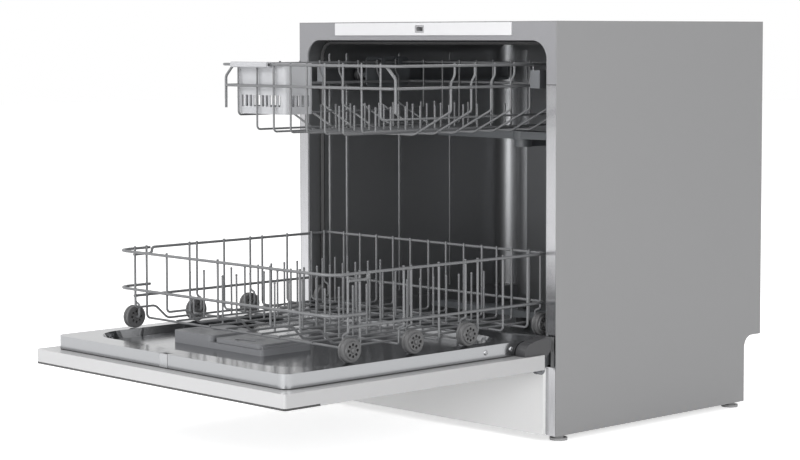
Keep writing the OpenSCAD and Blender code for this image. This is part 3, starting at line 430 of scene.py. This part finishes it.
# Cross-head screws at the hinge end fix the liner to the hinge arms.
screw_steel = finish_of("turned_stainless_screw", "#a8a9ab", 0.28, metal=1.0, tint=0.05, size_mm=0.5)
pan_head = [(0.004, 0), (0.0039, 0.0008), (0.003, 0.0015), (0.0018, 0.0019), (0.0012, 0.002), (0.0006, 0.002)]
for side, name in ((1, "right"), (-1, "left")):
    here = [mm(side * 276, y, 151) for y in (-75, -130)]
    points, faces = cap_on(here, (side, 0, 0), pan_head, 16, star=(0.75, 0.0009, 4))
    new_piece("liner_screws_" + name, points, faces, screw_steel, "door")
dress(screw_steel, "door_latch")


# ---------------------------------------------------------------- detergent and rinse-aid dispenser
# Two moulded boxes share one frame in the pan: rinse aid under a turned cap,
# and the powder well under a sliding lid with three ridges for the thumb.
dispenser_plastic = finish_of("grey_textured_polypropylene", "#76777a", 0.42, tint=0.04, bump=0.03,
                              size_mm=0.8)
dress(dispenser_plastic, "dispenser_body", "dispenser_lid", "rinse_aid_cap")


def ridge(x0, x1, y, z, width, height, cross=9, along=16):
    """A raised rib. Its height is height (1 - v^2)^0.5 e, with e = (1 - (2|u - 0.5|)^12)^0.5.

    u runs from 0 to 1 along the rib and v from -1 to 1 across it, where the width narrows with e."""
    u = np.linspace(0, 1, along)
    v = np.linspace(-1, 1, cross)
    ends = np.sqrt(np.clip(1 - (2 * np.abs(u - 0.5)) ** 12, 0, 1))
    x = x0 + (x1 - x0) * u
    px = np.repeat(x[:, None], cross, 1)
    py = y + width / 2 * v[None] * np.maximum(ends, 0.05)[:, None]
    pz = z + height * np.sqrt(np.clip(1 - v[None] ** 2, 0, 1)) * ends[:, None]
    return np.stack([px, py, pz], -1).reshape(-1, 3), grid_faces(along, cross)[:, ::-1]


ridge_points, ridge_faces, count = [], [], 0
for y in (-356, -350, -344):
    x0, y0, z0 = mm(-18, y, 164.95)
    points, faces = ridge(x0, x0 + 0.036, y0, z0, 0.0026, 0.0011)
    ridge_points.append(points)
    ridge_faces.append(faces + count)
    count += len(points)
new_piece("lid_thumb_ridges", np.vstack(ridge_points), np.vstack(ridge_faces), dispenser_plastic,
          "dispenser_lid")


# ---------------------------------------------------------------- racks
# Both racks are welded from drawn steel wire and dipped in grey nylon, which
# gathers in small rounded beads on the free ends of the tines.
nylon = finish_of("grey_nylon_coating", "#6c6d6f", 0.38, tint=0.03, rough_spread=0.05, bump=0.02, size_mm=1.5,
                  coat=0.1)
dress(nylon, "lower_rack", "upper_rack")
dome = [(0.00158, -0.0022), (0.00185, -0.0016), (0.00195, -0.0004), (0.00175, 0.0005), (0.0012, 0.0012),
        (0.0005, 0.0015)]
# four rows of 13 plate tines, 28 mm apart from 80 mm behind the rack's front
LOWER_FRONT_Y, LOWER_TIP_Z = -422, 254.1
plate_tips = [mm(x, LOWER_FRONT_Y + 80 + 28 * i, LOWER_TIP_Z)
              for x in (-172, -90, 36, 151) for i in range(13)]
points, faces = cap_on(plate_tips, (0, 0, 1), dome, 10)
new_piece("lower_tine_tips", points, faces, nylon, "lower_rack")
# three rows of 10 cup tines, 32 mm apart from 70 mm behind the rack's front
UPPER_FRONT_Y, UPPER_TIP_Z = -247, 516
cup_tips = [mm(x, UPPER_FRONT_Y + 70 + 32 * i, UPPER_TIP_Z) for x in (-80, 0, 84) for i in range(10)]
points, faces = cap_on(cup_tips, (0, 0, 1), dome, 10)
new_piece("upper_tine_tips", points, faces, nylon, "upper_rack")

# Eight moulded wheels turn on the ends of bent wires, held by push-on caps.
wheel_plastic = finish_of("dark_grey_acetal", "#585859", 0.4, tint=0.05, bump=0.02, size_mm=0.6)
dress(wheel_plastic, *[n for n in nodes if n.startswith("wheel_")])
push_on_cap = [(0.0042, 0), (0.0042, 0.0008), (0.0034, 0.0016), (0.0018, 0.0021), (0.0007, 0.0022)]
AXLE_END_X, AXLE_Z = 265.5, 179.6
for side, name in ((1, "right"), (-1, "left")):
    here = [mm(side * AXLE_END_X, y, AXLE_Z) for y in (-389, -264, -151, 14)]
    points, faces = cap_on(here, (side, 0, 0), push_on_cap, 20)
    new_piece("axle_caps_" + name, points, faces, wheel_plastic, "lower_rack")
roller_plastic = finish_of("grey_acetal_roller", "#666668", 0.35, tint=0.02, bump=0.01, size_mm=0.6)
dress(roller_plastic, *[n for n in nodes if n.startswith("roller_") and n != "roller_brackets"])

# The cutlery basket, the rim grip and the roller brackets are clipped on.
basket_plastic = finish_of("silver_grey_polypropylene", "#b2b3b6", 0.42, tint=0.03, bump=0.03, size_mm=0.8)
dress(basket_plastic, "cutlery_basket", "rack_grip")
dress(arm_plastic, "roller_brackets")
